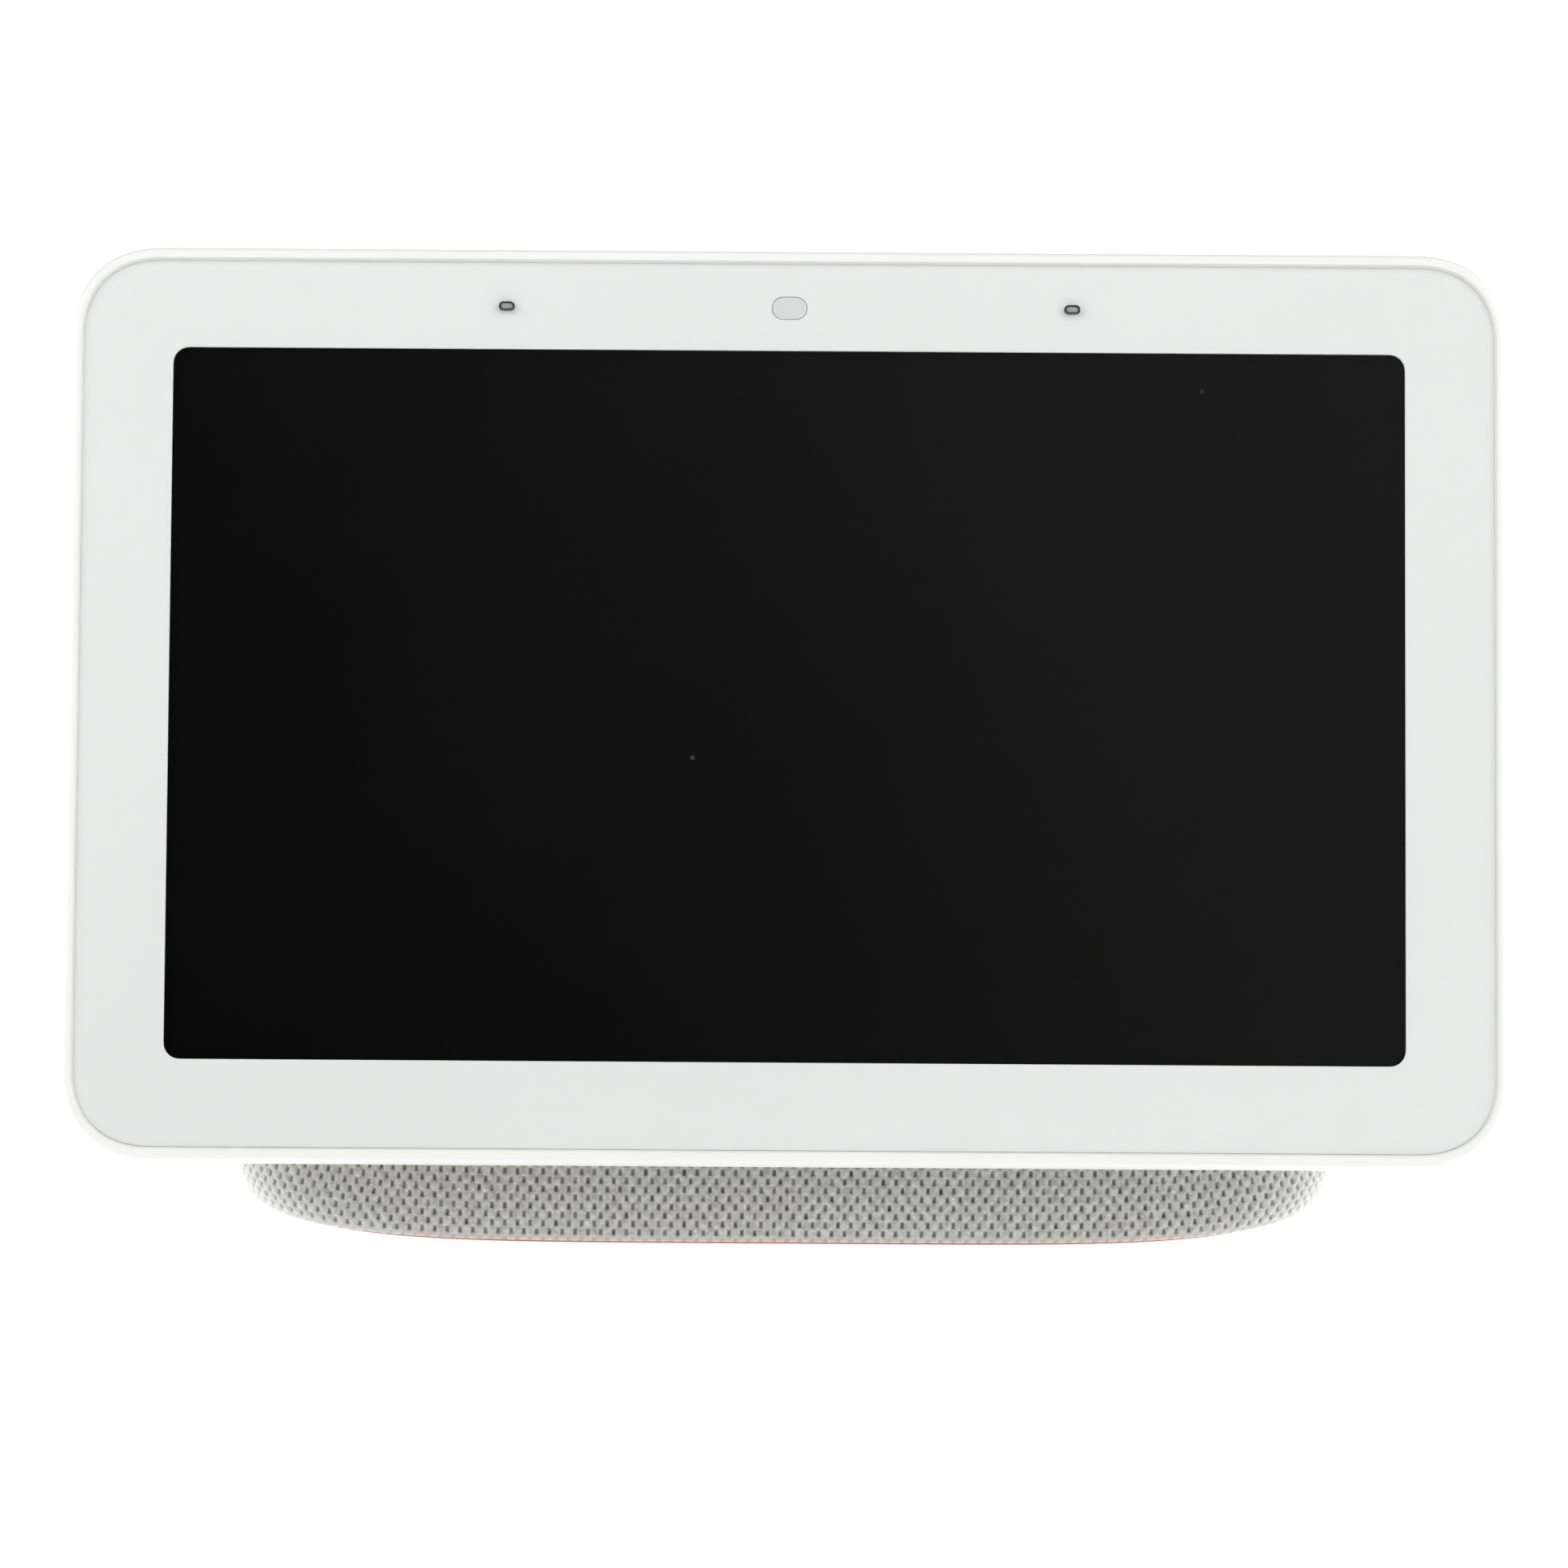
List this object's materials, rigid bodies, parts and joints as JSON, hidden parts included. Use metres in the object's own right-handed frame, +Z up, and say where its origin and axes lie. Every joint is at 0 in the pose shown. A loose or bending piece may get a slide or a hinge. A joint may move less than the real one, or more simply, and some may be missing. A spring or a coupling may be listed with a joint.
{
  "type": "smart display",
  "caption": "Tabletop smart display: a flat touch screen with a white border leans back on a rounded, knit-covered speaker base.",
  "frame": {"origin": "on the table, under the middle of the object's box", "axes": "+X to the right seen from the front, -Y out of the front, +Z up"},
  "size_m": [0.1784, 0.0668, 0.1183],
  "materials": {
    "white_plastic": "satin",
    "grey_plastic": "matte",
    "mic_mesh": "woven",
    "black_plastic": "matte",
    "cover_glass": "polished",
    "clear_film": "clear",
    "screen": "polished",
    "knit": "knitted",
    "coral_rubber": "matte",
    "black_rubber": "matte",
    "circuit_board": "solder resist",
    "steel": "plain",
    "aluminium": "plain",
    "brass": "plain",
    "cone_paper": "matte",
    "amber_film": "satin"
  },
  "bodies": {
    "display": {"border_film": "white_plastic", "backlight_unit": "white_plastic", "rear_housing": "white_plastic", "mid_frame": "grey_plastic", "base_shell": "grey_plastic", "mic_mesh_left": "mic_mesh", "mic_mesh_right": "mic_mesh", "speaker_enclosure": "black_plastic", "power_jack": "black_plastic", "key_switch_up": "black_plastic", "key_switch_down": "black_plastic", "mute_switch": "black_plastic", "display_socket": "black_plastic", "jack_bezel": "black_plastic", "cover_glass": "cover_glass", "touch_film": "clear_film", "sensor_lens": "clear_film", "lcd_panel": "screen", "fabric_cover": "knit", "rubber_foot": "coral_rubber", "glass_adhesive": "black_rubber", "mic_boot_left": "black_rubber", "mic_boot_right": "black_rubber", "speaker_surround": "black_rubber", "neck_cable": "black_rubber", "speaker_wire": "black_rubber", "main_board": "circuit_board", "sensor_board": "circuit_board", "key_board": "circuit_board", "jack_board": "circuit_board", "base_chassis": "steel", "neck_bracket": "steel", "cpu_shield": "steel", "radio_shield": "steel", "speaker_basket": "steel", "speaker_yoke": "steel", "speaker_magnet": "steel", "board_screw_1": "steel", "board_screw_2": "steel", "neck_screw_1": "steel", "neck_screw_2": "steel", "neck_screw_3": "steel", "neck_screw_4": "steel", "chassis_screw_1": "steel", "chassis_screw_2": "steel", "chassis_screw_3": "steel", "chassis_screw_4": "steel", "heat_spreader": "aluminium", "jack_pin": "brass", "display_flex": "amber_film", "touch_flex": "amber_film", "antenna_left": "amber_film", "antenna_right": "amber_film", "speaker_spider": "amber_film"},
    "rocker": {"volume_rocker": "white_plastic"},
    "plunger_up": {"key_plunger_up": "brass"},
    "plunger_down": {"key_plunger_down": "brass"},
    "slider": {"mute_slider": "white_plastic"},
    "cone": {"speaker_cone": "cone_paper", "voice_coil": "brass"}
  },
  "joints": [
    {"name": "key_up_press", "type": "slide", "parent": "display", "child": "plunger_up", "axis": [0, -0.9063, 0.4226], "range_m": [-0.00025, 0.00025]},
    {"name": "key_down_press", "type": "slide", "parent": "display", "child": "plunger_down", "axis": [0, -0.9063, 0.4226], "range_m": [-0.00026, 0.00026]},
    {"name": "volume_rocker_tilt", "type": "hinge", "parent": "display", "child": "rocker", "pos_m": [0.072, 0.0049, 0.07597], "axis": [1, 0, 0], "range_deg": [-2.4, 2.4], "stiffness_Nm_per_rad": 0.27},
    {"name": "mute_slide", "type": "slide", "parent": "display", "child": "slider", "axis": [1, 0, 0], "range_m": [0, 0.002]},
    {"name": "cone_travel", "type": "slide", "parent": "display", "child": "cone", "axis": [0, 0.9563, 0.2924], "range_m": [-0.002, 0.002], "stiffness_N_per_m": 1250, "deforming": ["speaker_surround", "speaker_spider"]}
  ],
  "couplings": [
    {"joint": "volume_rocker_tilt", "follows": "key_up_press", "rad_per_m": 166.67},
    {"joint": "key_down_press", "follows": "key_up_press", "ratio": -1}
  ]
}
